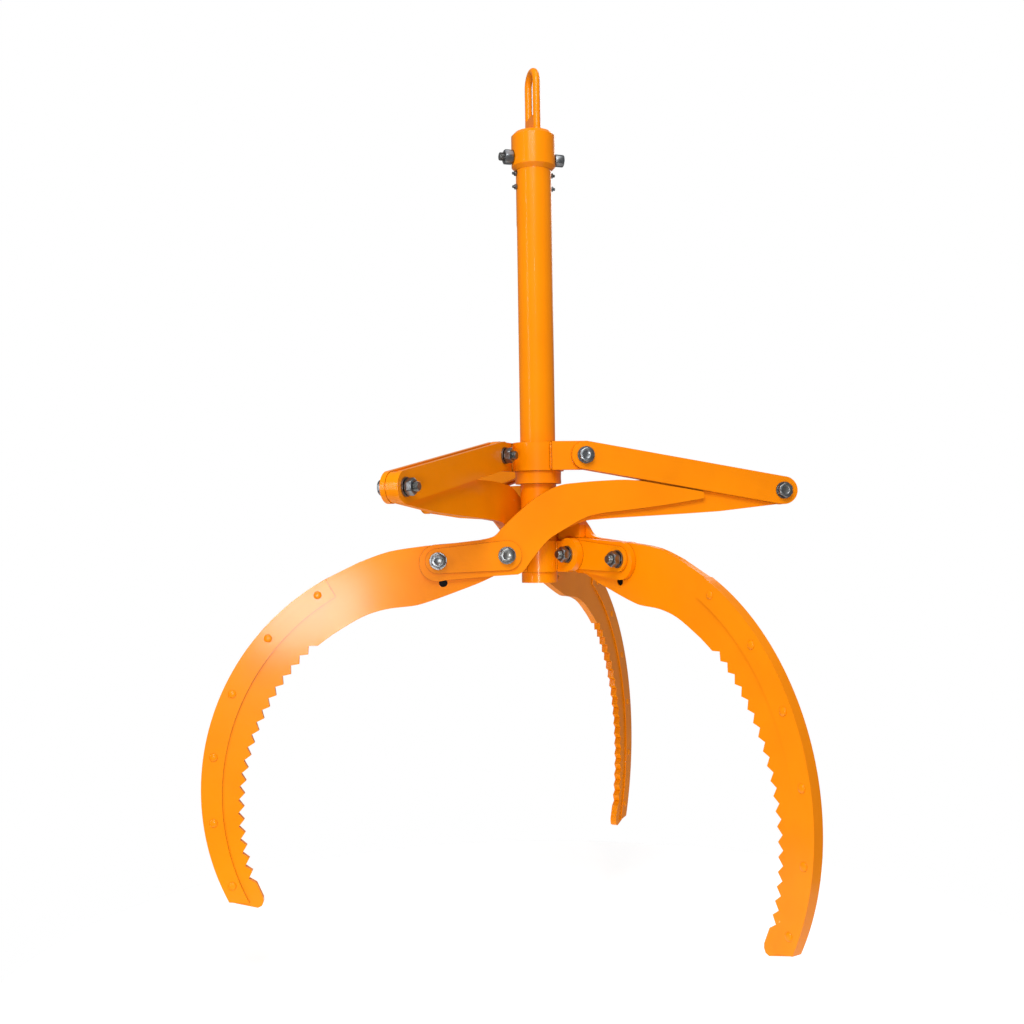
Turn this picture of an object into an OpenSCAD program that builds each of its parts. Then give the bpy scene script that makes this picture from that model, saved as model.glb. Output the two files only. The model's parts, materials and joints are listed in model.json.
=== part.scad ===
// Three-claw stone grapple, fully open, at real size.
// The mast axis is the Z axis, and Z is zero at the underside of the mast's foot.
// Each claw unit lies in a vertical plane that passes beside the mast.
// In a unit's own frame, X points outwards, Y is square to its plates, and Z is up.

/* [Layout] */
// Turn of the three units about the mast, in degrees
layout_turn = 6.9; // [0:0.1:30]

/* [Mast] */
// Outer radius of the mast tube
tube_r = 30; // [27:0.5:33]
// Wall of the mast tube
tube_wall = 6; // [4:0.5:7]
// Height of the tube's top edge above the underside of the foot
tube_top = 705; // [690:1:740]
// Thickness of the foot disc below the tube
foot_h = 18; // [14:0.5:22]
// Height of the foot's plug inside the tube
foot_plug_h = 14; // [8:1:20]

/* [Pivot hub] */
// Wall of the pivot hub ring round the tube
pivot_hub_wall = 4; // [3:0.5:5]
// Height of the pivot hub ring
pivot_hub_h = 51; // [48:1:54]
// Height of the claw pivots above the top of the foot disc
pivot_rise = 28.7; // [28:0.1:30]
// Distance of the claw pivots outside the tube's surface
pivot_standoff = 30.3; // [29.5:0.1:32]
// Thickness of a pivot lug
lug_t = 12; // [10:0.5:14]
// Radius of a pivot lug's round end
lug_r = 27; // [24:0.5:27]

/* [Sliding hub] */
// Height of the hub's lower edge above the underside of the foot
slide_z = 165; // [162:1:170]
// Height of the ring under the sliding hub
ring_h = 21; // [18:1:24]
// Wall of that ring outside the bush
ring_wall = 5.5; // [4:0.5:7]
// Height of the sliding hub above its ring
hub_h = 47.4; // [46:0.2:50]
// Wall of the sliding hub outside the bush
hub_wall = 10; // [8:0.5:11]
// Wall of the slide bush
bush_wall = 3; // [2:0.5:4]
// Distance from the mast axis out to the link bolt in a hub arm
arm_reach = 72.8; // [72:0.2:76]
// Thickness of a hub arm
arm_t = 12; // [10:0.5:13]
// Radius of the cross pin
pin_r = 6; // [5:0.5:7]
// How far the hub slides up the mast
lift_travel = 420; // [360:5:420]

/* [Lift head] */
// Outer radius of the head collar
collar_r = 37; // [36:0.5:40]
// Height of the head collar
collar_h = 64.5; // [60:0.5:70]
// How far the collar reaches down over the tube
collar_lap = 11.8; // [8:0.2:12]
// Chamfer on both rims of the collar
collar_chamfer = 6.5; // [3:0.5:6.5]
// Radius of the pull rod inside the mast
rod_r = 16; // [14:0.5:17]
// Height of the head bolt's nut
head_nut_h = 15; // [12:0.5:17]
// Turn of the lifting eye and the head bolt about the mast axis, in degrees
head_turn = 18; // [0:1:30]
// Radius of the bar that the lifting eye is bent from
eye_bar_r = 6.25; // [5.5:0.25:8]
// Clear width inside the lifting eye
eye_clear_w = 31; // [28:1:36]
// Height of the lifting eye above the collar
eye_h = 110; // [100:1:125]

/* [Lever] */
// Horizontal distance from a claw pivot back to its lever's outer bolt
lever_reach = 465.8; // [462:0.2:468]
// Height of the lever's outer bolt above the claw pivot
lever_rise = 101.3; // [100.5:0.1:102]
// Depth of the lever bar where it passes the mast
lever_depth = 62; // [61:0.5:63]
// Thickness of the lever bar
lever_t = 12; // [10:0.5:13]
// Radius of the lever bar's outer end
lever_end_r = 22; // [19:0.5:23]
// Thickness of the cheek plates
cheek_t = 8; // [6:0.5:10]
// Thickness of the root straps
strap_t = 4; // [3:0.5:5]
// Radius of the cheeks round the clamp bolt
cheek_r = 30; // [27:0.5:31]
// How far the cheeks' round ends lie below the clamp bolt
cheek_drop = 3; // [0:0.5:4]
// How much larger the straps are round the claw pivot's bolt
strap_flare = 4; // [0:0.5:5]
// Radius of the straps round the clamp bolt
strap_r = 20; // [18:0.5:22]

/* [Link] */
// Thickness of a link plate
link_t = 8; // [6:0.5:9]
// Half of a link plate's depth
link_r = 23.2; // [21:0.2:23.4]

/* [Claw] */
// Thickness of the claw blade
blade_t = 12; // [10:0.5:13]
// Radius of the claw's outer edge
claw_r = 381.5; // [370:0.5:390]
// Depth of the blade from its outer edge to its tooth tips
blade_depth = 66.5; // [62:0.5:72]
// Distance from the claw pivot to the clamp bolt
clamp_reach = 112.2; // [108:0.2:116]
// Width of the side strips
strip_w = 32.9; // [29:0.1:36]
// Thickness of a side strip
strip_t = 3; // [2:0.5:5]
// Number of teeth
tooth_count = 20; // [16:1:22]
// Depth of a tooth
tooth_depth = 9; // [7:0.5:10]
// Number of rivets
rivet_count = 6; // [4:1:8]
// Radius of a rivet's shank
rivet_r = 5; // [4:0.5:6]
// Radius of a rivet's head
rivet_head_r = 6.5; // [6.5:0.5:8]

/* [Fasteners] */
// Radius of the unit bolts
bolt_r = 7; // [6:0.5:8]
// Width across flats of the bolt heads and nuts
hex_af = 22; // [20:0.5:24]
// Height of a bolt head
head_h = 9; // [7:0.5:10]
// Height of a nut
nut_h = 12; // [9:0.5:14]
// Outer radius of a washer
washer_r = 14; // [13:0.5:15]
// Thickness of a washer
washer_t = 2.5; // [2:0.5:3]
// How far a bolt's end stands out of its nut
bolt_stub = 7; // [3:0.5:10]
// Radius of the small guide screws
screw_r = 2.5; // [2:0.25:3]
// Width across flats of the guide screws' lock nuts
screw_af = 8; // [7:0.5:9]
// Thickness of the guide screws' lock nuts
screw_nut_h = 4; // [3:0.5:5]
// How far a guide screw stands out of its lock nut
screw_stub = 3.5; // [2:0.5:5]

/* [Hidden] */
$fn = 64;

PAINT = "darkorange";
ZINC = "silver";
BRONZE = "peru";
STEEL = "slategray";

// Running clearance, on the radius
run_gap = 0.05;
// Gap between flat faces that move past each other
face_gap = 0.3;
// Gap between the tube and the levers that pass it
mast_gap = 6;
// How far cutting bodies run past a surface
overrun = 1;

// Heights and radii of the mast
bore_r = tube_r - tube_wall;
pivot_z = foot_h + pivot_rise;
pivot_r = tube_r + pivot_standoff;
pivot_hub_r = tube_r + pivot_hub_wall;
unit_offset = tube_r + mast_gap + lever_t / 2;

// Faces of the plate stack, measured from a unit's middle plane
cheek_y = lever_t / 2;
strap_y = cheek_y + cheek_t;
stack_y = strap_y + strap_t;
lug_y = stack_y + face_gap;
link_y = lever_t / 2 + face_gap;
link_out_y = link_y + link_t;

// Pivot places in a unit's own frame, as [outwards, up]
claw_pivot = [pivot_r, pivot_z];
clamp_turn = -3.8;
adjust_turn = -18.7;
clamp_pivot = claw_pivot + clamp_reach * [cos(clamp_turn), sin(clamp_turn)];
cheek_end = clamp_pivot - [0, cheek_drop];
adjust_hole = claw_pivot + clamp_reach * [cos(clamp_turn + adjust_turn), sin(clamp_turn + adjust_turn)];
lever_pivot = claw_pivot + [-lever_reach, lever_rise];
hub_z = slide_z + ring_h;
arm_pivot = [-arm_reach, hub_z + hub_h / 2];

// Window in a hub arm that lets the link bolt follow its arc
window_half_w = 2.5;
window_half_h = 11.1;
window_shift = 2.5;
window_round = 3;

// Sliding hub
bush_r = tube_r + run_gap + bush_wall;
ring_r = bush_r + ring_wall;
hub_r = bush_r + hub_wall;
arm_start = 18;
pin_z = slide_z + ring_h / 2;
// How far the cross pin's ends lie inside the ring's surface
pin_inset = 1;

// Lift head
collar_z = tube_top - collar_lap;
collar_top = collar_z + collar_h;
rod_low = pin_z - 2 * pin_r;
rod_top = collar_top - collar_chamfer;
head_bolt_cover = 2;
head_bolt_z = tube_top + face_gap + bolt_r + head_bolt_cover;
head_cap_r = 10.4;
head_cap_h = 16;
head_stub = 8;
eye_mid_r = eye_clear_w / 2 + eye_bar_r;
eye_web_h = 25;
eye_round_z = collar_top + eye_h - eye_mid_r - eye_bar_r;

// Guide bush and its screws
guide_drop = 4;
guide_h = 50;
guide_screw_drop = 13.3;
guide_screw_step = 22.7;
guide_top = tube_top - guide_drop;
guide_screw_z = [guide_top - guide_screw_drop, guide_top - guide_screw_drop - guide_screw_step];

// Claw blade, in shares of the outer edge's radius
arc_centre_share = [0.291, -0.966];
tooth_centre_share = [-0.0907, -0.0894];
seam_centre_share = [-0.0388, -0.0241];
arc_centre = claw_pivot + claw_r * arc_centre_share;
tooth_centre = arc_centre + claw_r * tooth_centre_share;
seam_centre = arc_centre + claw_r * seam_centre_share;
tooth_tip_r = claw_r - blade_depth - claw_r * tooth_centre_share[0];
seam_r = claw_r - strip_w - claw_r * seam_centre_share[0];
arc_high = 61.3;
arc_low = -27.3;
tooth_high = 45.3;
tooth_low = -18.8;
seam_high = 60.2;
seam_low = -27.6;
strip_high = 61.4;
rivet_high = 57.8;
rivet_low = -24.1;
rivet_inset = 15.9;
root_r = 28;
// How far inside a round end the edges that meet it start
round_inset = 1;
// The same for straight sides that run on smoothly from a round end
side_inset = 0.1;
back_shares = [[0.344, 0.046], [0.499, 0.024], [0.628, -0.02]];
tip_shares = [[1.063, -1.4535], [1.046, -1.446], [1.039, -1.43], [1.04, -1.413]];
belly_shares = [[0.803, -0.368], [0.759, -0.336], [0.721, -0.311], [0.613, -0.25], [0.513, -0.22],
    [0.4055, -0.209], [0.3575, -0.199], [0.279, -0.174], [0.17, -0.1355], [0.115, -0.115], [0.053, -0.0875]];

// Lever outlines, as shares of the lever's reach and of its depth
lever_top_shares = [[0.007, 0.779], [-0.07, 1.3], [-0.129, 1.61], [-0.191, 1.827], [-0.252, 1.892],
    [-0.344, 1.94], [-0.452, 1.948]];
lever_low_shares = [[-0.771, 1.0935], [-0.634, 1.037], [-0.512, 0.9935], [-0.4085, 0.9565],
    [-0.3355, 0.923], [-0.275, 0.8645], [-0.19, 0.602], [-0.146, 0.3855], [-0.098, -0.023], [-0.067, -0.342]];
cheek_top_shares = [[0.0925, 0.416], [0.042, 0.5145]];
cheek_end_shares = [[-0.58, 1.787], [-0.7005, 1.626]];
cheek_tip_shares = [[-0.708, 1.5935], [-0.71, 1.521], [-0.706, 1.44]];
cheek_low_shares = [[-0.602, 1.316], [-0.512, 1.224], [-0.4085, 1.137], [-0.3355, 1.073], [-0.275, 0.953]];
cheek_heel_shares = [[-0.051, -0.466], [-0.039, -0.506], [0.044, -0.537]];
lever_heel_shares = [[-0.049, -0.463], [-0.031, -0.4065], [0.008, 0]];

function unit_angle(i) = 180 + layout_turn + 120 * i;
function arc_points(centre, radius, from, to, steps) =
    [for (i = [0:steps]) let (a = from + (to - from) * i / steps) centre + radius * [cos(a), sin(a)]];
function claw_points(shares) = [for (s = shares) claw_pivot + claw_r * s];
function lever_points(shares) = [for (s = shares) claw_pivot + [s[0] * lever_reach, s[1] * lever_depth]];

// A smooth curve through the points p, with n steps between each two
function spline_point(a, b, c, d, t) =
    0.5 * ((2 * b) + (c - a) * t + (2 * a - 5 * b + 4 * c - d) * t * t + (3 * b - a - 3 * c + d) * t * t * t);
function smooth(p, n) = let (m = len(p) - 1)
    [for (i = [0:m - 1]) for (k = [0:n - 1])
        spline_point(p[max(i - 1, 0)], p[i], p[i + 1], p[min(i + 2, m)], k / n), p[m]];

// Places children in the frame of unit i
module unit(i) {
    rotate([0, 0, unit_angle(i)]) translate([0, unit_offset, 0]) children();
}

// A flat plate of thickness t, whose near face is at y
module plate(y, t) {
    translate([0, y + t, 0]) rotate([90, 0, 0]) linear_extrude(height = t) children();
}

// A rod along Y from y with length h, at p = [outwards, up]
module cross_rod(p, y, h, r, sides = $fn) {
    translate([p[0], y, p[1]]) rotate([-90, 0, 0]) cylinder(r = r, h = h, $fn = sides);
}

module hexagon_rod(p, y, h, flats) {
    cross_rod(p, y, h, flats / 2 / cos(30), 6);
}

module disc_at(p, r) {
    translate(p) circle(r = r);
}

// Two round ends with straight sides between them
module pill(a, ra, b, rb) {
    d = norm(b - a);
    direction = atan2(b[1] - a[1], b[0] - a[0]);
    spread = acos((ra - rb) / d);
    high = [cos(direction + spread), sin(direction + spread)];
    low = [cos(direction - spread), sin(direction - spread)];
    disc_at(a, ra);
    disc_at(b, rb);
    polygon([a + (ra - side_inset) * high, a + (ra - side_inset) * low,
        b + (rb - side_inset) * low, b + (rb - side_inset) * high]);
}

// Mast body

module mast_tube() {
    slot_r = pin_r + 2 * run_gap;
    color(PAINT) difference() {
        translate([0, 0, foot_h]) cylinder(r = tube_r, h = tube_top - foot_h);
        translate([0, 0, foot_h - overrun]) cylinder(r = bore_r, h = tube_top - foot_h + 2 * overrun);
        translate([0, 0, pin_z]) rotate([0, 90, 0]) cylinder(r = slot_r, h = 3 * tube_r, center = true);
        translate([0, 0, pin_z + lift_travel]) rotate([0, 90, 0])
            cylinder(r = slot_r, h = 3 * tube_r, center = true);
        translate([-1.5 * tube_r, -slot_r, pin_z]) cube([3 * tube_r, 2 * slot_r, lift_travel]);
        for (z = guide_screw_z) translate([0, 0, z]) rotate([0, 90, head_turn])
            cylinder(r = screw_r, h = 3 * tube_r, center = true);
    }
}

module mast_foot() {
    color(PAINT) union() {
        cylinder(r = tube_r, h = foot_h);
        cylinder(r = bore_r, h = foot_h + foot_plug_h);
    }
}

module pivot_hub() {
    color(PAINT) translate([0, 0, foot_h]) difference() {
        cylinder(r = pivot_hub_r, h = pivot_hub_h);
        translate([0, 0, -overrun]) cylinder(r = tube_r, h = pivot_hub_h + 2 * overrun);
    }
}

module pivot_lugs() {
    color(PAINT) for (i = [0:2]) difference() {
        unit(i) difference() {
            plate(-lug_y - lug_t, lug_t) union() {
                disc_at(claw_pivot, lug_r);
                translate([0, foot_h]) square([pivot_r, pivot_hub_h]);
            }
            cross_rod(claw_pivot, -lug_y - lug_t - overrun, lug_t + 2 * overrun, bolt_r + run_gap);
        }
        cylinder(r = pivot_hub_r, h = pivot_z + 2 * lug_r);
    }
}

module guide_bush() {
    color(BRONZE) translate([0, 0, guide_top - guide_h]) difference() {
        cylinder(r = bore_r, h = guide_h);
        translate([0, 0, -overrun]) cylinder(r = rod_r + run_gap, h = guide_h + 2 * overrun);
        for (z = guide_screw_z) translate([0, 0, z - guide_top + guide_h]) rotate([0, 90, head_turn])
            cylinder(r = screw_r, h = 3 * tube_r, center = true);
    }
}

// The guide screws stop short of the pull rod
module guide_screws() {
    screw_inset = 2;
    screw_start = rod_r + screw_inset;
    color(ZINC) for (z = guide_screw_z) for (side = [0, 180])
        translate([0, 0, z]) rotate([0, 90, head_turn + side]) translate([0, 0, screw_start])
            cylinder(r = screw_r, h = tube_r + screw_nut_h + screw_stub - screw_start);
}

module guide_nuts() {
    flat = sqrt(pow(tube_r, 2) - pow(screw_af / 2, 2));
    color(ZINC) difference() {
        for (z = guide_screw_z) for (side = [0, 180])
            translate([0, 0, z]) rotate([0, 90, head_turn + side]) translate([0, 0, flat]) difference() {
                cylinder(r = screw_af / 2 / cos(30), h = tube_r - flat + screw_nut_h, $fn = 6);
                translate([0, 0, -overrun]) cylinder(r = screw_r, h = tube_r - flat + screw_nut_h + 2 * overrun);
            }
        cylinder(r = tube_r, h = tube_top);
    }
}

// Lift head

module lifting_eye() {
    leg = eye_round_z - collar_top;
    color(PAINT) rotate([0, 0, head_turn]) rotate([0, 0, 90]) union() {
        translate([0, 0, eye_round_z]) rotate([90, 0, 0]) rotate_extrude(angle = 180)
            translate([eye_mid_r, 0]) circle(r = eye_bar_r);
        for (side = [-1, 1]) translate([side * eye_mid_r, 0, collar_top]) cylinder(r = eye_bar_r, h = leg);
        translate([-eye_mid_r, -eye_bar_r, collar_top]) cube([2 * eye_mid_r, 2 * eye_bar_r, eye_web_h]);
    }
}

module head_collar() {
    skirt_r = tube_r + run_gap;
    lap_top = tube_top + face_gap;
    color(PAINT) difference() {
        union() {
            translate([0, 0, collar_z]) cylinder(r1 = collar_r - collar_chamfer, r2 = collar_r, h = collar_chamfer);
            translate([0, 0, collar_z + collar_chamfer]) cylinder(r = collar_r, h = collar_h - 2 * collar_chamfer);
            translate([0, 0, collar_top - collar_chamfer])
                cylinder(r1 = collar_r, r2 = collar_r - collar_chamfer, h = collar_chamfer);
        }
        translate([0, 0, collar_z - overrun]) cylinder(r = skirt_r, h = lap_top - collar_z + overrun);
        translate([0, 0, collar_z]) cylinder(r = rod_r, h = rod_top - collar_z);
        translate([0, 0, head_bolt_z]) rotate([0, 90, head_turn])
            cylinder(r = bolt_r + run_gap, h = 3 * collar_r, center = true);
    }
}

module head_bolt() {
    shank = 2 * collar_r + head_nut_h + head_stub;
    color(ZINC) translate([0, 0, head_bolt_z]) rotate([0, 90, head_turn]) union() {
        translate([0, 0, collar_r - shank]) cylinder(r = bolt_r, h = shank);
        translate([0, 0, collar_r]) cylinder(r = head_cap_r, h = head_cap_h);
    }
}

module head_nut() {
    color(ZINC) translate([0, 0, head_bolt_z]) rotate([0, 90, head_turn])
        translate([0, 0, -collar_r - head_nut_h]) difference() {
            cylinder(r = hex_af / 2 / cos(30), h = head_nut_h, $fn = 6);
            translate([0, 0, -overrun]) cylinder(r = bolt_r + run_gap, h = head_nut_h + 2 * overrun);
        }
}

module pull_rod() {
    color(STEEL) difference() {
        translate([0, 0, rod_low]) cylinder(r = rod_r, h = rod_top - rod_low);
        translate([0, 0, head_bolt_z]) rotate([0, 90, head_turn])
            cylinder(r = bolt_r + run_gap, h = 3 * rod_r, center = true);
        translate([0, 0, pin_z]) rotate([0, 90, 0]) cylinder(r = pin_r, h = 3 * rod_r, center = true);
    }
}

module cross_pin() {
    color(STEEL) translate([0, 0, pin_z]) rotate([0, 90, 0]) cylinder(r = pin_r, h = 2 * (ring_r - pin_inset), center = true);
}

module slide_hub() {
    color(PAINT) translate([0, 0, hub_z]) difference() {
        cylinder(r = hub_r, h = hub_h);
        translate([0, 0, -overrun]) cylinder(r = bush_r, h = hub_h + 2 * overrun);
    }
}

module slide_ring() {
    color(PAINT) difference() {
        translate([0, 0, slide_z]) cylinder(r = ring_r, h = ring_h);
        translate([0, 0, slide_z - overrun]) cylinder(r = bush_r, h = ring_h + 2 * overrun);
        translate([0, 0, pin_z]) rotate([0, 90, 0]) cylinder(r = pin_r, h = 3 * ring_r, center = true);
    }
}

module slide_bush() {
    color(BRONZE) difference() {
        translate([0, 0, slide_z]) cylinder(r = bush_r, h = ring_h + hub_h);
        translate([0, 0, slide_z - overrun]) cylinder(r = tube_r + run_gap, h = ring_h + hub_h + 2 * overrun);
        translate([0, 0, pin_z]) rotate([0, 90, 0]) cylinder(r = pin_r, h = 3 * ring_r, center = true);
    }
}

module arm_window() {
    half_w = bolt_r + face_gap + window_half_w;
    half_h = bolt_r + face_gap + window_half_h;
    translate(arm_pivot + [window_shift, 0]) union() {
        square([2 * half_w, 2 * (half_h - window_round)], center = true);
        square([2 * (half_w - window_round), 2 * half_h], center = true);
        for (x = [-1, 1]) for (z = [-1, 1])
            disc_at([x * (half_w - window_round), z * (half_h - window_round)], window_round);
    }
}

module hub_arms() {
    color(PAINT) for (i = [0:2]) difference() {
        unit(i) plate(-arm_t / 2, arm_t) difference() {
            union() {
                disc_at(arm_pivot, hub_h / 2);
                translate([-arm_reach, hub_z]) square([arm_reach - arm_start, hub_h]);
            }
            arm_window();
        }
        cylinder(r = hub_r, h = hub_z + 2 * hub_h);
    }
}

// Claw unit

module claw_blade() {
    pitch = (tooth_high - tooth_low) / (tooth_count - 1);
    color(PAINT) difference() {
        plate(-blade_t / 2, blade_t) difference() {
            union() {
                disc_at(claw_pivot, root_r);
                polygon(concat([claw_pivot + [0, root_r - round_inset]], smooth(claw_points(back_shares), 4),
                    arc_points(arc_centre, claw_r, arc_high, arc_low, 48),
                    claw_points(tip_shares),
                    [for (k = [tooth_count - 1:-1:0]) for (half = [0, 0.5])
                        let (a = tooth_high - (k - half) * pitch, r = tooth_tip_r + 2 * half * tooth_depth)
                            tooth_centre + r * [cos(a), sin(a)]],
                    smooth(claw_points(belly_shares), 4), [claw_pivot + [0, round_inset - root_r]]));
            }
            disc_at(claw_pivot, bolt_r + run_gap);
            disc_at(clamp_pivot, bolt_r + run_gap);
            disc_at(adjust_hole, bolt_r + run_gap);
        }
        rivet_holes(blade_t / 2);
    }
}

function rivet_place(k) = let (a = rivet_high + (rivet_low - rivet_high) * k / (rivet_count - 1))
    arc_centre + (claw_r - rivet_inset) * [cos(a), sin(a)];

module rivet_holes(y) {
    for (k = [0:rivet_count - 1]) cross_rod(rivet_place(k), -y - overrun, 2 * (y + overrun), rivet_r);
}

module claw_strips() {
    color(PAINT) difference() {
        for (y = [blade_t / 2, -blade_t / 2 - strip_t]) plate(y, strip_t)
            polygon(concat(arc_points(arc_centre, claw_r, strip_high, arc_low, 48),
                arc_points(seam_centre, seam_r, seam_low, seam_high, 48)));
        rivet_holes(blade_t / 2 + strip_t);
    }
}

module claw_rivets() {
    y = blade_t / 2 + strip_t;
    edge_h = 0.8;
    dome_h = 1.6;
    flat_share = 0.6;
    color(PAINT) for (k = [0:rivet_count - 1]) union() {
        cross_rod(rivet_place(k), -y, 2 * y, rivet_r);
        for (side = [-1, 1]) translate([rivet_place(k)[0], side * y, rivet_place(k)[1]])
            rotate([-90 * side, 0, 0]) union() {
                cylinder(r = rivet_head_r, h = edge_h);
                translate([0, 0, edge_h])
                    cylinder(r1 = rivet_head_r, r2 = rivet_head_r * flat_share, h = dome_h);
            }
    }
}

module claw_lever() {
    color(PAINT) plate(-lever_t / 2, lever_t) difference() {
        union() {
            disc_at(lever_pivot, lever_end_r);
            polygon(concat(smooth(lever_points(lever_top_shares), 6), [lever_pivot + [0, lever_end_r]],
                [lever_pivot - [0, lever_end_r]], smooth(lever_points(lever_low_shares), 6),
                lever_points(lever_heel_shares)));
        }
        disc_at(claw_pivot, root_r + face_gap);
        disc_at(lever_pivot, bolt_r + run_gap);
    }
}

module bolt_pair_holes() {
    disc_at(claw_pivot, bolt_r + run_gap);
    disc_at(clamp_pivot, bolt_r + run_gap);
}

module claw_outer_cheek() {
    color(PAINT) plate(cheek_y, cheek_t) difference() {
        union() {
            disc_at(cheek_end, cheek_r);
            polygon(concat([cheek_end + [0, cheek_r - round_inset]],
                smooth(concat(lever_points(cheek_top_shares), lever_points(lever_top_shares),
                    lever_points(cheek_end_shares)), 6),
                lever_points(cheek_tip_shares),
                smooth(concat(lever_points(cheek_low_shares),
                    [for (k = [6:9]) lever_points(lever_low_shares)[k]]), 6),
                lever_points(cheek_heel_shares), [cheek_end + [0, round_inset - cheek_r]]));
        }
        bolt_pair_holes();
    }
}

module claw_inner_cheek() {
    color(PAINT) plate(-cheek_y - cheek_t, cheek_t) difference() {
        pill(claw_pivot, lug_r, cheek_end, cheek_r);
        bolt_pair_holes();
    }
}

module claw_straps() {
    color(PAINT) for (y = [strap_y, -strap_y - strap_t]) plate(y, strap_t) difference() {
        pill(claw_pivot, strap_r + strap_flare, clamp_pivot, strap_r);
        bolt_pair_holes();
    }
}

// One bolt along Y with its head on the far side: faces at y_low and y_high are those under nut and head
module bolt(p, y_low, y_high) {
    shank_low = y_low - washer_t - nut_h - bolt_stub;
    dish_r = bolt_r;
    dish_h = 1;
    difference() {
        union() {
            cross_rod(p, shank_low, y_high + washer_t - shank_low, bolt_r);
            hexagon_rod(p, y_high + washer_t, head_h, hex_af);
        }
        cross_rod(p, y_high + washer_t + head_h - dish_h, dish_h + overrun, dish_r);
    }
}

module nut(p, y_low) {
    difference() {
        hexagon_rod(p, y_low - washer_t - nut_h, nut_h, hex_af);
        cross_rod(p, y_low - washer_t - nut_h - overrun, nut_h + 2 * overrun, bolt_r + run_gap);
    }
}

module washer(p, y) {
    difference() {
        cross_rod(p, y, washer_t, washer_r);
        cross_rod(p, y - overrun, washer_t + 2 * overrun, bolt_r + run_gap);
    }
}

claw_nut_face = -lug_y - lug_t - face_gap;

module claw_bolts() {
    color(ZINC) union() {
        bolt(claw_pivot, claw_nut_face, stack_y);
        bolt(clamp_pivot, -stack_y, stack_y);
    }
}

module claw_nuts() {
    color(ZINC) union() {
        nut(claw_pivot, claw_nut_face);
        nut(clamp_pivot, -stack_y);
    }
}

module claw_washers() {
    color(ZINC) union() {
        washer(claw_pivot, claw_nut_face - washer_t);
        washer(claw_pivot, stack_y);
        washer(clamp_pivot, -stack_y - washer_t);
        washer(clamp_pivot, stack_y);
    }
}

// Link

module link_plates() {
    color(PAINT) for (y = [link_y, -link_out_y]) plate(y, link_t) difference() {
        pill(lever_pivot, link_r, arm_pivot, link_r);
        disc_at(lever_pivot, bolt_r + run_gap);
        disc_at(arm_pivot, bolt_r + run_gap);
    }
}

module link_bolts() {
    color(ZINC) for (p = [lever_pivot, arm_pivot]) bolt(p, -link_out_y, link_out_y);
}

module link_nuts() {
    color(ZINC) for (p = [lever_pivot, arm_pivot]) nut(p, -link_out_y);
}

module link_washers() {
    color(ZINC) for (p = [lever_pivot, arm_pivot]) for (y = [-link_out_y - washer_t, link_out_y]) washer(p, y);
}

mast_tube();
mast_foot();
pivot_hub();
pivot_lugs();
guide_bush();
guide_screws();
guide_nuts();
lifting_eye();
head_collar();
head_bolt();
head_nut();
pull_rod();
cross_pin();
slide_hub();
slide_ring();
slide_bush();
hub_arms();
unit(0) claw_blade();  // claw_a_blade
unit(0) claw_strips();  // claw_a_strips
unit(0) claw_rivets();  // claw_a_rivets
unit(0) claw_lever();  // claw_a_lever
unit(0) claw_outer_cheek();  // claw_a_outer_cheek
unit(0) claw_inner_cheek();  // claw_a_inner_cheek
unit(0) claw_straps();  // claw_a_straps
unit(0) claw_bolts();  // claw_a_bolts
unit(0) claw_nuts();  // claw_a_nuts
unit(0) claw_washers();  // claw_a_washers
unit(0) link_plates();  // link_a_plates
unit(0) link_bolts();  // link_a_bolts
unit(0) link_nuts();  // link_a_nuts
unit(0) link_washers();  // link_a_washers
unit(1) claw_blade();  // claw_b_blade
unit(1) claw_strips();  // claw_b_strips
unit(1) claw_rivets();  // claw_b_rivets
unit(1) claw_lever();  // claw_b_lever
unit(1) claw_outer_cheek();  // claw_b_outer_cheek
unit(1) claw_inner_cheek();  // claw_b_inner_cheek
unit(1) claw_straps();  // claw_b_straps
unit(1) claw_bolts();  // claw_b_bolts
unit(1) claw_nuts();  // claw_b_nuts
unit(1) claw_washers();  // claw_b_washers
unit(1) link_plates();  // link_b_plates
unit(1) link_bolts();  // link_b_bolts
unit(1) link_nuts();  // link_b_nuts
unit(1) link_washers();  // link_b_washers
unit(2) claw_blade();  // claw_c_blade
unit(2) claw_strips();  // claw_c_strips
unit(2) claw_rivets();  // claw_c_rivets
unit(2) claw_lever();  // claw_c_lever
unit(2) claw_outer_cheek();  // claw_c_outer_cheek
unit(2) claw_inner_cheek();  // claw_c_inner_cheek
unit(2) claw_straps();  // claw_c_straps
unit(2) claw_bolts();  // claw_c_bolts
unit(2) claw_nuts();  // claw_c_nuts
unit(2) claw_washers();  // claw_c_washers
unit(2) link_plates();  // link_c_plates
unit(2) link_bolts();  // link_c_bolts
unit(2) link_nuts();  // link_c_nuts
unit(2) link_washers();  // link_c_washers
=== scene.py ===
"""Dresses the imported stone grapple: materials, formed fasteners, plugs, weld beads, light and camera."""

import json
import math

import bpy
from mathutils import Matrix, Vector


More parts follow.
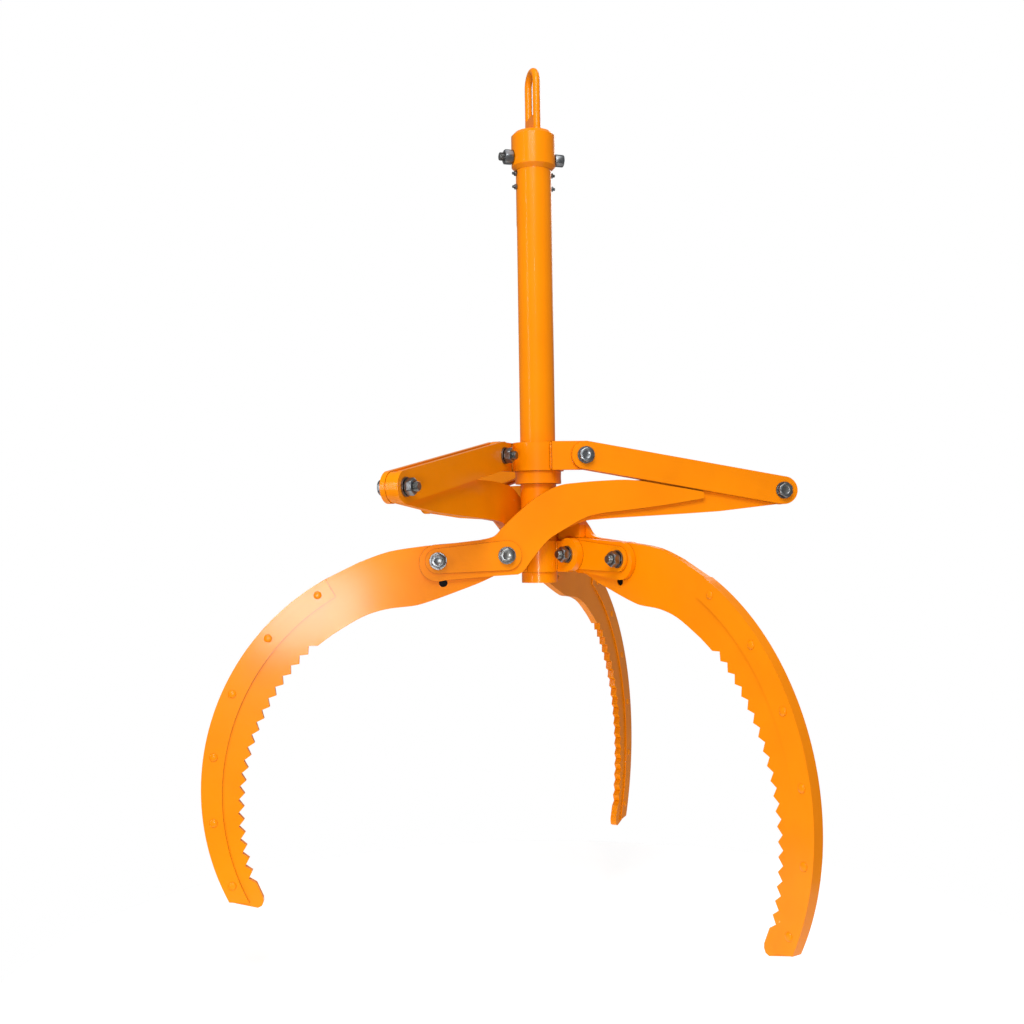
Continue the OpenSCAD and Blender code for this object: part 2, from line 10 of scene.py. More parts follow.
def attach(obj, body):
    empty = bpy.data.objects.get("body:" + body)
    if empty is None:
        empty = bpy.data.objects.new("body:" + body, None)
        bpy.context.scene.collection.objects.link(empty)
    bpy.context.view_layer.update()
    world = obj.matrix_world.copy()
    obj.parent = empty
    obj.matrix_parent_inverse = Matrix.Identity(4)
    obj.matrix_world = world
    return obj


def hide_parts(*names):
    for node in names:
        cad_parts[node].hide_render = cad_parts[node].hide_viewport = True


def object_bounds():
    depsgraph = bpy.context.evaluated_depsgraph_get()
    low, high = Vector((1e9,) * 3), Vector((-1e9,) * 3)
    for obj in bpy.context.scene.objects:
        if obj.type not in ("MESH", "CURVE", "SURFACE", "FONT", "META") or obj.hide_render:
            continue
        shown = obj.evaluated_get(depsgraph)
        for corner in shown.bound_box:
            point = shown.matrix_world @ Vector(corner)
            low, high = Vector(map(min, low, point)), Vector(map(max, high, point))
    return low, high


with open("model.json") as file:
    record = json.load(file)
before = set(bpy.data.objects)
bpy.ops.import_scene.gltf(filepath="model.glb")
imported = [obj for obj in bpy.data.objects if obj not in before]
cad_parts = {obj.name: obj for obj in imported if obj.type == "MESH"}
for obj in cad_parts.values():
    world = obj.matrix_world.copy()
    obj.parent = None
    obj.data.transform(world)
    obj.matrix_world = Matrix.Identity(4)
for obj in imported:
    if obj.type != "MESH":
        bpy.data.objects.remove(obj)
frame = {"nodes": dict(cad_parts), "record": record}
cad_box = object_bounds()
nodes = frame["nodes"]
record = frame["record"]
scene = bpy.context.scene

MM = 0.001

# Each unit, a claw with its link, faces its own way round the mast, in degrees
UNITS = {"a": 186.9, "b": 306.9, "c": 66.9}

# Places in a unit's own frame, in millimetres: outwards, and up
UNIT_OFFSET = 42.0
CLAW_PIVOT = (60.3, 46.7)
CLAMP = (172.253, 39.264)
ADJUST_HOLE = (163.96, 3.76)
LEVER_PIVOT = (-405.5, 148.0)
ARM_PIVOT = (-72.8, 209.7)

# The head bolt, the guide screws and the lifting eye are turned this far round the mast, in degrees
HEAD_TURN = 18.0

# Sizes of the M14 fasteners, in millimetres
BOLT_R = 7.0
PITCH = 2.0
HEX_AF = 22.0
HEAD_H = 9.0
NUT_H = 12.0
STUB = 7.0
WASHER_T = 2.5

# Distances of the washers' seats from a unit's middle plane
STACK = 18.0
LUG_FACE = 30.6
LINK_FACE = 14.3

# A shank laps into its head, and a threaded end, slightly thinner, into its nut
SHANK_LAP = 0.5
END_LAP = 0.8
END_SLACK = 0.02


# Mesh making

HEX_STEPS = 48

# The cone on a hexagon's end starts at this share of its width across flats, and slopes in degrees
HEX_CONE_SHARE = 0.475
HEX_CONE_ANGLE = 30.0


class Shape:
    """Collects rings of points, in millimetres, and turns them into one mesh object in metres."""

    def __init__(self):
        self.points = []
        self.faces = []

    def rings(self, rings, matrix, close=False):
        """Rings with equal numbers of points, joined in order. A ring of one point is a tip."""
        starts = []
        for ring in rings:
            starts.append((len(self.points), len(ring)))
            self.points.extend(matrix @ Vector(p) for p in ring)
        pairs = list(zip(starts, starts[1:]))
        if close:
            pairs.append((starts[-1], starts[0]))
        for (a, na), (b, nb) in pairs:
            n = max(na, nb)
            for i in range(n):
                j = (i + 1) % n
                if na == 1:
                    self.faces.append((a, b + j, b + i))
                elif nb == 1:
                    self.faces.append((a + i, a + j, b))
                else:
                    self.faces.append((a + i, a + j, b + j, b + i))

    def cap(self, start, count, flip):
        """One face over the ring of points that begins at start."""
        face = tuple(range(start, start + count))
        self.faces.append(face[::-1] if flip else face)

    def build(self, name, material, smooth=40):
        """The mesh object, with edges sharper than smooth degrees left sharp."""
        mesh = bpy.data.meshes.new(name)
        mesh.from_pydata([p * MM for p in self.points], [], self.faces)
        mesh.validate()
        mesh.update()
        obj = bpy.data.objects.new(name, mesh)
        scene.collection.objects.link(obj)
        mesh.materials.append(material)
        mesh.shade_smooth()
        mesh.set_sharp_from_angle(angle=math.radians(smooth))
        return obj


def circle(r, z, n):
    return [(r * math.cos(2 * math.pi * i / n), r * math.sin(2 * math.pi * i / n), z) for i in range(n)]


def lathe(shape, profile, matrix, n=40):
    """A profile of radii and heights, turned round Z."""
    shape.rings([[(0, 0, z)] if r == 0 else circle(r, z, n) for r, z in profile], matrix)


def hexagon(shape, profile, flats, matrix, close=False):
    """A lathed profile that flats cut to a hexagon."""
    rings = []
    for r, z in profile:
        if r == 0:
            rings.append([(0, 0, z)])
            continue
        ring = []
        for i in range(HEX_STEPS):
            a = 2 * math.pi * i / HEX_STEPS
            side = (a + math.pi / 6) % (math.pi / 3) - math.pi / 6
            radius = min(r, flats / 2 / math.cos(side))
            ring.append((radius * math.cos(a), radius * math.sin(a), z))
        rings.append(ring)
    shape.rings(rings, matrix, close)


def hex_edge(flats, z_face, way):
    """Rings of the cone that takes the corners off a hexagon's end face. way is 1 up and -1 down."""
    inner = HEX_CONE_SHARE * flats
    outer = flats / math.sqrt(3)
    drop = (outer - inner) * math.tan(math.radians(HEX_CONE_ANGLE))
    steps = [0, 0.25, 0.5, 0.75, 1]
    return [(inner + (outer - inner) * s, z_face - way * drop * s) for s in steps]


def nut(shape, matrix, flats, height, bore):
    """A nut from z 0 to its height, chamfered at both ends."""
    lead = 0.08 * bore
    low = hex_edge(flats, 0, -1)
    high = hex_edge(flats, height, 1)[::-1]
    profile = [(bore, lead), (bore + lead, 0)] + low + high + [(bore + lead, height), (bore, height - lead)]
    hexagon(shape, profile, flats, matrix, close=True)


def head(shape, matrix, flats, height, dish_r):
    """A bolt head from z 0 to its height, with a shallow dish in its end face."""
    bottom = height - 1.0
    low = [(0, 0)] + hex_edge(flats, 0, -1)[-1:]
    high = hex_edge(flats, height, 1)[::-1]
    dish = [(dish_r, height), (dish_r - 0.5, height - 0.6), (dish_r - 1.2, bottom), (0, bottom)]
    hexagon(shape, low + high + dish, flats, matrix)


def thread(shape, matrix, r, length, pitch, n=36):
    """A threaded end from z 0 down to -length, with a chamfered tip."""
    depth = 0.5 * pitch
    crest_width = 1.25
    chamfer = 0.17 * r
    steps_per_turn = 6
    count = int(length / pitch * steps_per_turn)
    rings = []
    for k in range(count + 1):
        z = -length * k / count
        ring = []
        for i in range(n):
            phase = (-z / pitch + i / n) % 1
            ridge = 1 - abs(2 * phase - 1)
            radius = r - depth * (1 - min(1, crest_width * ridge))
            radius = min(radius, r - chamfer + (length + z))
            a = 2 * math.pi * i / n
            ring.append((radius * math.cos(a), radius * math.sin(a), z))
        rings.append(ring)
    rings.append([(0, 0, -length)])
    shape.rings(rings, matrix)


# Weld beads, in millimetres
BEAD_SIDES = 10
BEAD_STEP = 0.4
RIPPLE = 2.4


def bead_radius(r, s, total):
    """A bead's radius at s along it: ripples, a slow wander, and round ends."""
    ripple = abs(math.sin(math.pi * s / RIPPLE + 0.4 * math.sin(s * 0.7)))
    wander = 1 + 0.07 * math.sin(s * 0.9) + 0.05 * math.sin(s * 2.3 + 1)
    end = min(s, total - s)
    return r * (0.86 + 0.16 * ripple) * wander * math.sqrt(min(1, end / r + 0.05))


def weld(shape, path, r, matrix):
    """A weld bead along a path."""
    points = [Vector(p) for p in path]
    lengths = [(b - a).length for a, b in zip(points, points[1:])]
    total = sum(lengths)
    count = max(4, int(total / BEAD_STEP))
    turns = [2 * math.pi * j / BEAD_SIDES for j in range(BEAD_SIDES)]
    rings = []
    for k in range(count + 1):
        s = total * k / count
        rest = s
        i = 0
        while i < len(lengths) - 1 and rest > lengths[i]:
            rest -= lengths[i]
            i += 1
        way = (points[i + 1] - points[i]).normalized()
        centre = points[i] + way * rest
        side = way.orthogonal().normalized()
        other = way.cross(side)
        radius = bead_radius(r, s, total)
        rings.append([tuple(centre + radius * (math.cos(a) * side + math.sin(a) * other)) for a in turns])
    start = len(shape.points)
    shape.rings(rings, matrix)
    shape.cap(start, BEAD_SIDES, True)
    shape.cap(start + BEAD_SIDES * count, BEAD_SIDES, False)


def upright_weld(shape, x, y, span, r, matrix):
    """A bead up a vertical seam, between the two heights of its span."""
    low, high = span
    weld(shape, [(x, y, low), (x, y, high)], r, matrix)


# Frames of reference

FLIP = Matrix.Rotation(math.pi, 4, "X")


def unit_matrix(key):
    return Matrix.Rotation(math.radians(UNITS[key]), 4, "Z") @ Matrix.Translation((0, UNIT_OFFSET, 0))


def bolt_matrix(key, place, y):
    """Local Z runs along the bolt, towards its head, from a plane at y."""
    at = Matrix.Translation((place[0], y, place[1]))
    return unit_matrix(key) @ at @ Matrix.Rotation(-math.pi / 2, 4, "X")


def head_matrix(z, turn=0):
    """Local Z runs along the head bolt or a guide screw, outwards."""
    around = Matrix.Rotation(math.radians(HEAD_TURN + turn), 4, "Z")
    return Matrix.Translation((0, 0, z)) @ around @ Matrix.Rotation(math.pi / 2, 4, "Y")


def along(axis, z):
    """The same frame, moved along its own Z."""
    return axis @ Matrix.Translation((0, 0, z))


# Materials, with colours as linear red, green and blue

BLACK = (0, 0, 0)
WHITE = (1, 1, 1)
ORANGE_DARK = (0.83, 0.222, 0.0)
ORANGE = (0.90, 0.248, 0.0)
ORANGE_LIGHT = (0.93, 0.264, 0.0)
PRIMER = (0.93, 0.52, 0.16)

# Painted shade: seams and inner corners nearer than this, in metres, are darkened to these shares
SEAM_REACH = 0.004
PAINT_SEAM_SHADE = 0.3
METAL_SEAM_SHADE = 0.15

METAL_GRAIN = 260.0


def new_material(name):
    material = bpy.data.materials.new(name)
    material.use_nodes = True
    tree = material.node_tree
    return material, tree, tree.nodes["Principled BSDF"]


def object_coords(tree):
    return tree.nodes.new("ShaderNodeTexCoord").outputs["Object"]


def noise(tree, coords, scale, detail, rough, distort=0.0):
    node = tree.nodes.new("ShaderNodeTexNoise")
    node.inputs["Scale"].default_value = scale
    node.inputs["Detail"].default_value = detail
    node.inputs["Roughness"].default_value = rough
    node.inputs["Distortion"].default_value = distort
    tree.links.new(coords, node.inputs["Vector"])
    return node.outputs["Fac"]


def ramp(tree, value, stops):
    """Colours between the stops, each a position and a colour."""
    node = tree.nodes.new("ShaderNodeValToRGB")
    bar = node.color_ramp
    while len(bar.elements) < len(stops):
        bar.elements.new(0.5)
    for element, (place, colour) in zip(bar.elements, stops):
        element.position = place
        element.color = (*colour, 1)
    tree.links.new(value, node.inputs["Fac"])
    return node.outputs["Color"]


def spread(tree, value, low, high):
    """The value, from 0 to 1, stretched to low to high."""
    node = tree.nodes.new("ShaderNodeMapRange")
    node.inputs["To Min"].default_value = low
    node.inputs["To Max"].default_value = high
    tree.links.new(value, node.inputs["Value"])
    return node.outputs["Result"]


def mix(tree, factor, under, over):
    """The colour over, laid on the colour under by the factor."""
    node = tree.nodes.new("ShaderNodeMix")
    node.data_type = "RGBA"
    tree.links.new(factor, node.inputs["Factor"])
    tree.links.new(under, node.inputs["A"])
    node.inputs["B"].default_value = (*over, 1)
    return node.outputs["Result"]


def painted_corner_shade(tree, colour, darkness):
    """The colour with painted shade: darker in seams and inner corners, where shade falls."""
    node = tree.nodes.new("ShaderNodeAmbientOcclusion")
    node.samples = 4
    node.inputs["Distance"].default_value = SEAM_REACH
    corner = ramp(tree, node.outputs["AO"], [(0.3, (darkness, darkness, darkness)), (0.75, WHITE)])
    blend = tree.nodes.new("ShaderNodeMix")
    blend.data_type = "RGBA"
    blend.blend_type = "MULTIPLY"
    blend.inputs["Factor"].default_value = 1
    tree.links.new(colour, blend.inputs["A"])
    tree.links.new(corner, blend.inputs["B"])
    return blend.outputs["Result"]


def bump(tree, shader, height, strength, distance, under=None):
    """Relief for the shader, over the relief under it if there is one. distance is in metres."""
    node = tree.nodes.new("ShaderNodeBump")
    node.inputs["Strength"].default_value = strength
    node.inputs["Distance"].default_value = distance
    tree.links.new(height, node.inputs["Height"])
    if under is not None:
        tree.links.new(under, node.inputs["Normal"])
    tree.links.new(node.outputs["Normal"], shader.inputs["Normal"])
    return node.outputs["Normal"]


def deepened(colour, deep):
    """An orange with deep less red, and less green in proportion."""
    return (colour[0] - deep, colour[1] - deep * 0.4, colour[2])


def paint_material(name, deep=0.0, rough=0.3):
    """Glossy orange enamel with a fine orange-peel skin, faint flow marks and a few nicks down to primer."""
    material, tree, shader = new_material(name)
    coords = object_coords(tree)
    clouds = noise(tree, coords, scale=7, detail=4, rough=0.55)
    tone = ramp(tree, clouds, [
        (0.3, deepened(ORANGE_DARK, deep)),
        (0.5, deepened(ORANGE, deep)),
        (0.72, deepened(ORANGE_LIGHT, deep)),
    ])
    chips = noise(tree, coords, scale=140, detail=2, rough=0.4, distort=0.6)
    nicks = ramp(tree, chips, [(0.81, BLACK), (0.83, WHITE)])
    worn = mix(tree, nicks, tone, PRIMER)
    # Painted shade darkens the enamel in seams and inner corners
    tree.links.new(painted_corner_shade(tree, worn, PAINT_SEAM_SHADE), shader.inputs["Base Color"])
    gloss = noise(tree, coords, scale=35, detail=4, rough=0.6)
    tree.links.new(spread(tree, gloss, rough - 0.07, rough + 0.1), shader.inputs["Roughness"])
    skin = noise(tree, coords, scale=520, detail=2, rough=0.5)
    peel = bump(tree, shader, skin, strength=0.1, distance=0.0004)
    flow = noise(tree, coords, scale=60, detail=3, rough=0.5)
    bump(tree, shader, flow, strength=0.12, distance=0.0012, under=peel)
    shader.inputs["Specular IOR Level"].default_value = 0.08
    shader.inputs["Coat Weight"].default_value = 0.21
    shader.inputs["Coat Roughness"].default_value = 0.14
    shader.inputs["IOR"].default_value = 1.5
    return material


def metal_material(name, light, dark, rough, tint=None):
    """Plated or machined metal: cloudy tone, fine grain and uneven gloss."""
    material, tree, shader = new_material(name)
    coords = object_coords(tree)
    clouds = noise(tree, coords, scale=90, detail=5, rough=0.6, distort=0.4)
    tone = ramp(tree, clouds, [(0.25, dark), (0.7, light)])
    if tint is not None:
        patches = noise(tree, coords, scale=45, detail=3, rough=0.5)
        stain = ramp(tree, patches, [(0.5, BLACK), (0.75, (0.6, 0.6, 0.6))])
        tone = mix(tree, stain, tone, tint)
    # Painted shade darkens the metal in seams and inner corners
    tree.links.new(painted_corner_shade(tree, tone, METAL_SEAM_SHADE), shader.inputs["Base Color"])
    shader.inputs["Metallic"].default_value = 1.0
    gloss = noise(tree, coords, scale=METAL_GRAIN, detail=4, rough=0.6)
    tree.links.new(spread(tree, gloss, rough - 0.06, rough + 0.12), shader.inputs["Roughness"])
    grain = noise(tree, coords, scale=METAL_GRAIN * 4, detail=3, rough=0.6)
    bump(tree, shader, grain, strength=0.15, distance=0.0002)
    return material


def floor_material(name, colour, rough, glow):
    material, _, shader = new_material(name)
    shader.inputs["Base Color"].default_value = (*colour, 1)
    shader.inputs["Roughness"].default_value = rough
    shader.inputs["Emission Color"].default_value = (*colour, 1)
    shader.inputs["Emission Strength"].default_value = glow
    return material


paint = paint_material("orange_enamel")
weld_paint = paint_material("orange_enamel_on_weld", deep=0.03, rough=0.34)
zinc = metal_material("bright_zinc", light=(0.30, 0.32, 0.34), dark=(0.12, 0.125, 0.13), rough=0.3,
                      tint=(0.24, 0.225, 0.18))
thread_metal = metal_material("zinc_thread", light=(0.26, 0.26, 0.25), dark=(0.10, 0.10, 0.10), rough=0.34,
                              tint=(0.22, 0.19, 0.13))
bronze = metal_material("bearing_bronze", light=(0.60, 0.40, 0.17), dark=(0.42, 0.26, 0.1), rough=0.38)
rod_steel = metal_material("ground_rod_steel", light=(0.56, 0.57, 0.58), dark=(0.42, 0.43, 0.44), rough=0.24)
# Near black: painted shade for the inside of the claws' spare clamp holes
hole_shade_black = metal_material("painted_hole_shade", light=(0.012, 0.012, 0.013), dark=(0.006, 0.006, 0.006),
                           rough=0.5)


# Every solid of the frame gets its finish and soft edges

FINISH = {"orange_paint": paint, "zinc": zinc, "bronze": bronze, "rod_steel": rod_steel}
PAINT_EDGE = 0.5
METAL_EDGE = 0.25
EDGE_ANGLE = 35.0

for entry in record["subparts"]:
    obj = nodes[entry["node"]]
    material = FINISH[entry["material_slot"]]
    obj.data.materials.clear()
    obj.data.materials.append(material)
    edge = obj.modifiers.new("edge", "BEVEL")
    edge.width = (PAINT_EDGE if material is paint else METAL_EDGE) * MM
    edge.segments = 2
    edge.limit_method = "ANGLE"
    edge.angle_limit = math.radians(EDGE_ANGLE)
    edge.use_clamp_overlap = True
    edge.harden_normals = True


# Bolts and nuts of the claws and links

# Each bolt has its place, and the planes under its nut's washer and its head's washer
CLAW_BOLTS = [(CLAW_PIVOT, -LUG_FACE, STACK), (CLAMP, -STACK, STACK)]
LINK_BOLTS = [(LEVER_PIVOT, -LINK_FACE, LINK_FACE), (ARM_PIVOT, -LINK_FACE, LINK_FACE)]


def bolt_set(body, key, bolts):
    """Heads with shanks, nuts, and threaded ends of one body's bolts."""
    heads = Shape()
    nuts = Shape()
    ends = Shape()
    for place, y_low, y_high in bolts:
        seat = bolt_matrix(key, place, y_high + WASHER_T)
        head(heads, seat, HEX_AF, HEAD_H, BOLT_R)
        lathe(heads, [(BOLT_R, y_low - WASHER_T - y_high), (BOLT_R, SHANK_LAP)], seat)
        nut_end = y_low - WASHER_T - NUT_H
        nut(nuts, bolt_matrix(key, place, nut_end), HEX_AF, NUT_H, BOLT_R)
        thread(ends, bolt_matrix(key, place, nut_end + END_LAP), BOLT_R - END_SLACK, STUB + END_LAP, PITCH)
    for label, shape in (("bolts", heads), ("nuts", nuts)):
        replaced = f"{body}_{label}"
        piece = shape.build(f"{replaced}_formed", zinc)
        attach(piece, body)
        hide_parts(replaced)
    piece = ends.build(f"{body}_bolt_ends", thread_metal, smooth=25)
    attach(piece, body)


for key in UNITS:
    bolt_set(f"claw_{key}", key, CLAW_BOLTS)
    bolt_set(f"link_{key}", key, LINK_BOLTS)


# Rivets along the outer edge of each claw

ARC_CENTRE = (171.317, -321.829)
RIVET_ARC = 365.6
RIVET_HIGH = 57.8
RIVET_LOW = -24.1
RIVET_COUNT = 6
RIVET_FACE = 9.0
DOME = [(6.5, -0.3), (6.5, 0.35), (6.3, 0.8), (5.7, 1.4), (4.6, 1.95), (3.0, 2.3), (1.4, 2.4), (0, 2.4)]
DOME_SIDES = 32


def rivet_domes(key):
    """Domes on both faces of one claw, evenly spaced along an arc."""
    domes = Shape()
    for i in range(RIVET_COUNT):
        a = math.radians(RIVET_HIGH + (RIVET_LOW - RIVET_HIGH) * i / (RIVET_COUNT - 1))
        place = (ARC_CENTRE[0] + RIVET_ARC * math.cos(a), ARC_CENTRE[1] + RIVET_ARC * math.sin(a))
        lathe(domes, DOME, bolt_matrix(key, place, RIVET_FACE), DOME_SIDES)
        lathe(domes, DOME, bolt_matrix(key, place, -RIVET_FACE) @ FLIP, DOME_SIDES)
    piece = domes.build(f"claw_{key}_rivet_domes", paint)
    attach(piece, f"claw_{key}")
    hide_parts(f"claw_{key}_rivets")


for key in UNITS:
    rivet_domes(key)


# A near-black plug fills each claw's spare clamp hole: painted shade, standing in for the shadow inside the
# hole

PLUG_R = 6.9
PLUG_HALF = 5.2
PLUG_EDGE = 0.6


def hole_shade_plug(key):
    rim = PLUG_R - PLUG_EDGE
    side = PLUG_HALF - PLUG_EDGE
    plug = Shape()
    lathe(plug, [(0, -PLUG_HALF), (rim, -PLUG_HALF), (PLUG_R, -side), (PLUG_R, side), (rim, PLUG_HALF),
                 (0, PLUG_HALF)], bolt_matrix(key, ADJUST_HOLE, 0))
    piece = plug.build(f"claw_{key}_hole_shade_plug", hole_shade_black)
    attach(piece, f"claw_{key}")


for key in UNITS:
    hole_shade_plug(key)


# The head bolt, a socket cap screw with a nut on its other end

HEAD_BOLT_Z = 714.3
COLLAR_R = 37.0
HEAD_NUT_H = 15.0
HEAD_STUB = 8.0
CAP_R = 10.4
CAP_H = 16.0

# The cap's edges, as distances in from its side and along from its end
CAP_FOOT_EDGE = (0.4, 0.5)
CAP_EDGE_MIDDLE = (0.35, 0.4)
CAP_EDGE = 1.2

# The socket, with depths from the cap's end
SOCKET_AF = 12.0
SOCKET_MOUTH_R = 7.1
SOCKET_LIP_R = 6.6
SOCKET_LIP_DEEP = 0.5
SOCKET_CORNER_R = 6.93
SOCKET_CORNER_DEEP = 0.51
SOCKET_DEEP = 7.0


def head_bolt():
    """Shank, cap and socket. The cap's end face stops at the socket's mouth and isn't joined to its lip."""
    cap_top = COLLAR_R + CAP_H
    foot_in, foot_up = CAP_FOOT_EDGE
    middle_in, middle_down = CAP_EDGE_MIDDLE
    outside = [
        (0, COLLAR_R),
        (CAP_R - foot_in, COLLAR_R),
        (CAP_R, COLLAR_R + foot_up),
        (CAP_R, cap_top - CAP_EDGE),
        (CAP_R - middle_in, cap_top - middle_down),
        (CAP_R - CAP_EDGE, cap_top),
        (SOCKET_MOUTH_R, cap_top),
    ]
    socket = [
        (SOCKET_LIP_R, cap_top - SOCKET_LIP_DEEP),
        (SOCKET_CORNER_R, cap_top - SOCKET_CORNER_DEEP),
        (SOCKET_CORNER_R, cap_top - SOCKET_DEEP),
        (0, cap_top - SOCKET_DEEP),
    ]
    cap = Shape()
    axis = head_matrix(HEAD_BOLT_Z)
    lathe(cap, [(BOLT_R, -COLLAR_R), (BOLT_R, COLLAR_R + SHANK_LAP)], axis)
    lathe(cap, outside, axis, HEX_STEPS)
    hexagon(cap, socket, SOCKET_AF, axis)
    piece = cap.build("head_bolt_formed", zinc)
    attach(piece, "lift_head")
    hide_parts("head_bolt")


def head_nut():
    lock = Shape()
    nut(lock, along(head_matrix(HEAD_BOLT_Z, 180), COLLAR_R), HEX_AF, HEAD_NUT_H, BOLT_R)
    piece = lock.build("head_nut_formed", zinc)
    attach(piece, "lift_head")
    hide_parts("head_nut")


def head_bolt_end():
    tail = Shape()
    start = along(head_matrix(HEAD_BOLT_Z, 180), COLLAR_R + HEAD_NUT_H - END_LAP)
    thread(tail, start @ FLIP, BOLT_R - END_SLACK, HEAD_STUB + END_LAP, PITCH)
    piece = tail.build("head_bolt_end", thread_metal, smooth=25)
    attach(piece, "lift_head")


head_bolt()
head_nut()
head_bolt_end()


# Guide screws with lock nuts, below the head

SCREW_HEIGHTS = (687.7, 665.0)
SCREW_R = 2.5
SCREW_PITCH = 0.8
SCREW_SIDES = 20
LOCK_AF = 8.0
LOCK_H = 4.2

# Distances from the mast's axis
SCREW_START = 18.0
LOCK_FACE = 29.8
THREAD_START = 33.5
SHANK_END = 34.5
SCREW_END = 37.5


def guide_screws():
    screws = Shape()
    locks = Shape()
    shank = [(0, SCREW_START), (SCREW_R, SCREW_START), (SCREW_R, SHANK_END)]
    length = SCREW_END - THREAD_START
    for z in SCREW_HEIGHTS:
        for turn in (0, 180):
            axis = head_matrix(z, turn)
            lathe(screws, shank, axis, SCREW_SIDES)
            thread(screws, along(axis, THREAD_START) @ FLIP, SCREW_R, length, SCREW_PITCH, SCREW_SIDES)
            nut(locks, along(axis, LOCK_FACE), LOCK_AF, LOCK_H, SCREW_R)
    for replaced, shape in (("guide_screws", screws), ("guide_nuts", locks)):
        piece = shape.build(f"{replaced}_formed", zinc)
        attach(piece, "mast")
        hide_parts(replaced)


guide_screws()


# Welds, and what they join

SLIDE_HUB_R = 43.05
HUB_LOW = 186.0
HUB_HIGH = 233.4
ARM_START = -18.0
ARM_HALF = 6.0
PIVOT_HUB_R = 34.0
PIVOT_HUB_LOW = 18.0
PIVOT_HUB_HIGH = 69.0
LUG_NEAR = 18.3
LUG_FAR = 30.3
COLLAR_TOP = 757.7
EYE_HALF_W = 28.0
EYE_HALF_T = 6.25
EYE_END_STEPS = 12

# A bead's middle lies a little off the faces it joins, and upright beads stop short of the seam's ends
SIDE_BEAD_R = 2.2
ROOT_BEAD_R = 3.0
LUG_BEAD_R = 2.0
TUBE_BEAD_R = 1.8
EYE_BEAD_R = 2.0
BEAD_SHORT = 1.0
BEAD_OFF = 0.8
SIDE_BEAD_OFF = 0.6
ROOT_BEAD_OFF = 1.5
LUG_BEAD_OFF = 0.5
TUBE_BEAD_PATH_R = 30.6
TUBE_BEAD_UP = 0.3
TUBE_BEAD_STEPS = 72
EYE_BEAD_UP = 0.4


def hub_arm_welds():
    """A bead where each arm's near face leaves the sliding hub, and a thicker one at the arm's root."""
    beads = Shape()
    near = UNIT_OFFSET - ARM_HALF
    side_x = -math.sqrt(SLIDE_HUB_R ** 2 - near ** 2) - BEAD_OFF
    side_y = -ARM_HALF - SIDE_BEAD_OFF
    root_y = math.sqrt(SLIDE_HUB_R ** 2 - ARM_START ** 2) - UNIT_OFFSET + ROOT_BEAD_OFF
    side_span = (HUB_LOW + 2 * BEAD_SHORT, HUB_HIGH - 2 * BEAD_SHORT)
    root_span = (HUB_LOW + BEAD_SHORT, HUB_HIGH - BEAD_SHORT)
    for key in UNITS:
        place = unit_matrix(key)
        upright_weld(beads, side_x, side_y, side_span, SIDE_BEAD_R, place)
        upright_weld(beads, ARM_START + BEAD_OFF, root_y, root_span, ROOT_BEAD_R, place)
    piece = beads.build("hub_arm_welds", weld_paint, smooth=60)
    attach(piece, "lift_head")


def pivot_lug_welds():
    """Beads up both faces of each pivot lug, and one round the tube on top of their hub."""
    beads = Shape()
    span = (PIVOT_HUB_LOW + BEAD_SHORT, PIVOT_HUB_HIGH - BEAD_SHORT)
    for key in UNITS:
        place = unit_matrix(key)
        for face, way in ((-LUG_NEAR, 1), (-LUG_FAR, -1)):
            x = math.sqrt(PIVOT_HUB_R ** 2 - (UNIT_OFFSET + face) ** 2) + BEAD_OFF
            y = face + LUG_BEAD_OFF * way
            upright_weld(beads, x, y, span, LUG_BEAD_R, place)
    loop = circle(TUBE_BEAD_PATH_R, PIVOT_HUB_HIGH + TUBE_BEAD_UP, TUBE_BEAD_STEPS)
    weld(beads, loop + loop[:1], TUBE_BEAD_R, Matrix.Identity(4))
    piece = beads.build("pivot_lug_welds", weld_paint, smooth=60)
    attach(piece, "mast")


def eye_welds():
    """A bead round the foot of the lifting eye, whose two legs stand side by side on the collar."""
    beads = Shape()
    z = COLLAR_TOP + EYE_BEAD_UP
    corner = EYE_HALF_W - EYE_HALF_T
    loop = []
    for side in (1, -1):
        for i in range(EYE_END_STEPS + 1):
            a = math.pi * i / EYE_END_STEPS
            loop.append((-side * EYE_HALF_T * math.cos(a), side * (corner + EYE_HALF_T * math.sin(a)), z))
    weld(beads, loop + loop[:1], EYE_BEAD_R, Matrix.Rotation(math.radians(HEAD_TURN), 4, "Z"))
    piece = beads.build("eye_welds", weld_paint, smooth=60)
    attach(piece, "lift_head")


hub_arm_welds()
pivot_lug_welds()
eye_welds()


# Floor, in metres. The grapple hangs, and its claws' tips swing down by less than TIP_SWING as they close

FLOOR_R = 0.9
TIP_SWING = 0.14
FLOOR_SIDES = 96
FLOOR_GLOW = 0.42

floor_z = cad_box[0][2] - TIP_SWING
floor_mesh = bpy.data.meshes.new("floor")
floor_mesh.from_pydata(circle(FLOOR_R, floor_z, FLOOR_SIDES), [], [tuple(range(FLOOR_SIDES))])
floor = bpy.data.objects.new("floor", floor_mesh)
scene.collection.objects.link(floor)
floor_mesh.materials.append(floor_material("white_floor", (0.9, 0.9, 0.9), 0.9, FLOOR_GLOW))


# The backdrop is white, and lights the part less than it shows

WORLD_LIGHT = 0.26

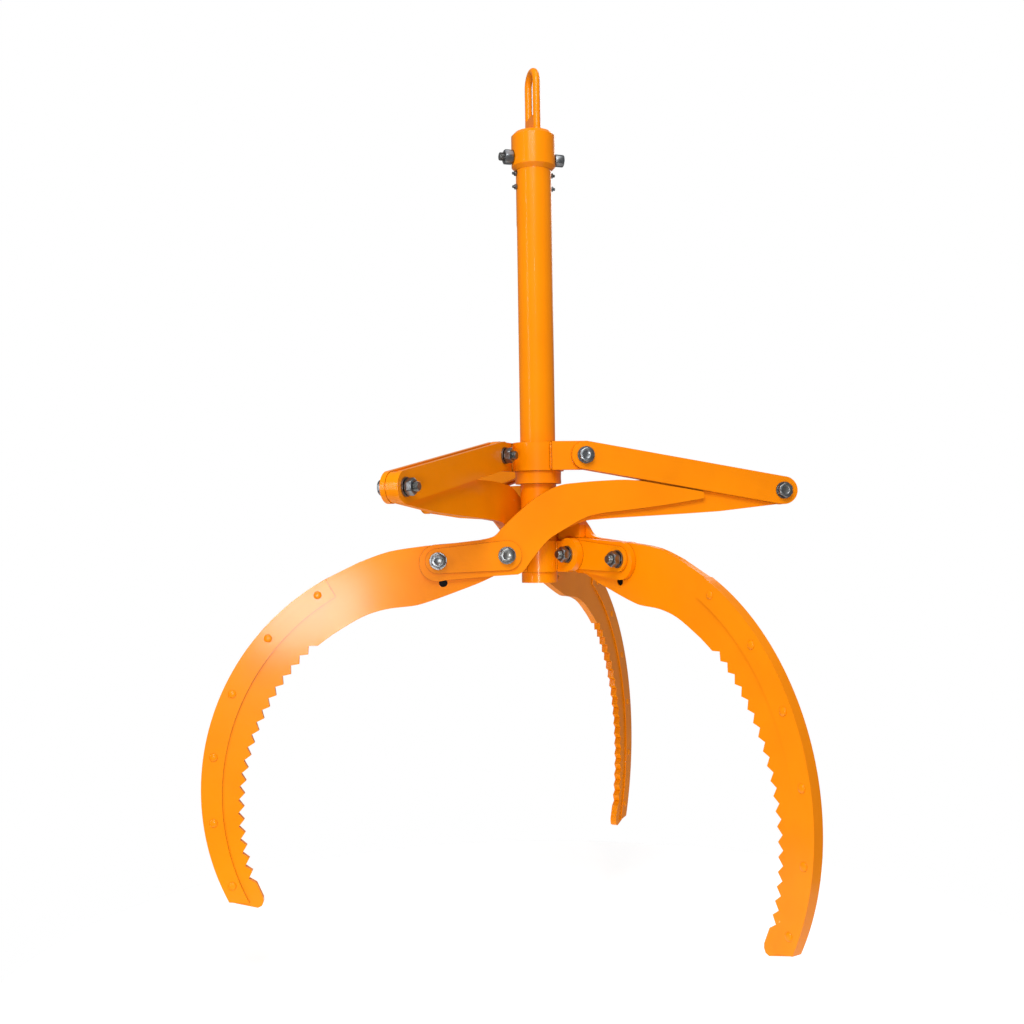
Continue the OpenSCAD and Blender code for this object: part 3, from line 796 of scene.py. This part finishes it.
world = bpy.data.worlds.new("studio")
scene.world = world
world.use_nodes = True
sky = world.node_tree
backdrop = sky.nodes["Background"]
backdrop.inputs["Color"].default_value = (*WHITE, 1)
dim = sky.nodes.new("ShaderNodeBackground")
dim.inputs["Color"].default_value = (*WHITE, 1)
dim.inputs["Strength"].default_value = WORLD_LIGHT
path = sky.nodes.new("ShaderNodeLightPath")
blend = sky.nodes.new("ShaderNodeMixShader")
sky.links.new(path.outputs["Is Camera Ray"], blend.inputs["Fac"])
sky.links.new(dim.outputs["Background"], blend.inputs[1])
sky.links.new(backdrop.outputs["Background"], blend.inputs[2])
sky.links.new(blend.outputs["Shader"], sky.nodes["World Output"].inputs["Surface"])
scene.view_settings.view_transform = "Standard"


# Lights, in metres and watts

def area_light(name, place, aim, size, power):
    light = bpy.data.lights.new(name, "AREA")
    light.shape = "RECTANGLE"
    light.size, light.size_y = size
    light.energy = power
    obj = bpy.data.objects.new(name, light)
    scene.collection.objects.link(obj)
    obj.location = place
    obj.rotation_euler = (Vector(aim) - Vector(place)).to_track_quat("-Z", "Y").to_euler()


area_light("glare", place=(-0.24, -2.25, -0.15), aim=(-0.37, 0, -0.04), size=(0.34, 0.24), power=14)
area_light("front_box", place=(-0.3, -2.4, 2.1), aim=(0, 0, 0.5), size=(1.6, 1.2), power=62)
area_light("mast_strip", place=(-0.12, -2.3, 1.3), aim=(0, 0, 0.4), size=(0.05, 1.0), power=2.2)
area_light("left_box", place=(-2.3, -1.9, 0.5), aim=(0, 0, 0.3), size=(0.22, 2.2), power=13)
area_light("back_box", place=(0.8, 2.6, 1.6), aim=(0, 0, 0), size=(1.6, 1.4), power=26)
area_light("top_box", place=(0.2, -0.8, 2.6), aim=(0, 0, 0), size=(1.4, 1.4), power=14)


# Camera, fitted to the photograph's bolts, rivets and mast

FOCAL_PIXELS = 1246.5
FRAME_PIXELS = 1024
CAMERA_PLACE = Vector((0, -2.0922, 0.0728))
YAW = math.radians(-1.229)
PITCH_UP = math.radians(1.254)
ROLL = math.radians(-0.856)
SENSOR = 36.0

ahead = math.cos(PITCH_UP)
forward = Vector((math.sin(YAW) * ahead, math.cos(YAW) * ahead, math.sin(PITCH_UP)))
level = forward.cross(Vector((0, 0, 1))).normalized()
plumb = level.cross(forward)
right = level * math.cos(ROLL) + plumb * math.sin(ROLL)
upward = plumb * math.cos(ROLL) - level * math.sin(ROLL)
camera_data = bpy.data.cameras.new("camera")
camera_data.sensor_width = SENSOR
camera_data.lens = FOCAL_PIXELS / FRAME_PIXELS * SENSOR
camera = bpy.data.objects.new("camera", camera_data)
scene.collection.objects.link(camera)
camera.matrix_world = Matrix((
    (right.x, upward.x, -forward.x, CAMERA_PLACE.x),
    (right.y, upward.y, -forward.y, CAMERA_PLACE.y),
    (right.z, upward.z, -forward.z, CAMERA_PLACE.z),
    (0, 0, 0, 1),
))
scene.camera = camera
